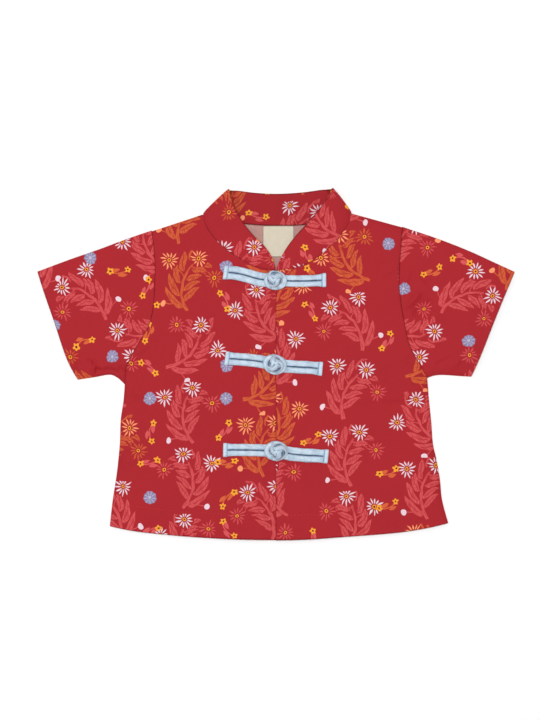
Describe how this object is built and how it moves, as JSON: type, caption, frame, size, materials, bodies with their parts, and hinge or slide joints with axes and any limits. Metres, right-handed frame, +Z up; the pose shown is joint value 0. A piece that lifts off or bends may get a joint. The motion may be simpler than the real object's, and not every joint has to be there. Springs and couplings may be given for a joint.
{
  "type": "tang shirt",
  "caption": "Child's short-sleeved tang shirt with a stand collar and corded frog fastenings, buttoned and lying flat with its front up.",
  "frame": {"origin": "on the surface that the shirt lies on, under the middle of its outline", "axes": "+X towards the wearer's left sleeve, +Y from the hem to the collar, +Z up from the surface through the back, then the front"},
  "size_m": [0.4522, 0.334, 0.0142],
  "materials": {
    "cotton": "smooth printed cotton sateen, slight sheen",
    "label": "woven cream ribbon, matt",
    "satin": "pale blue satin bias tube, soft shine"
  },
  "bodies": {
    "root": {"back": "cotton", "front_right": "cotton", "front_left": "cotton", "sleeve_right": "cotton", "sleeve_left": "cotton", "collar": "cotton", "label": "label", "frog_loop_top": "satin", "frog_button_top": "satin", "frog_loop_middle": "satin", "frog_button_middle": "satin", "frog_loop_bottom": "satin", "frog_button_bottom": "satin"}
  },
  "joints": []
}
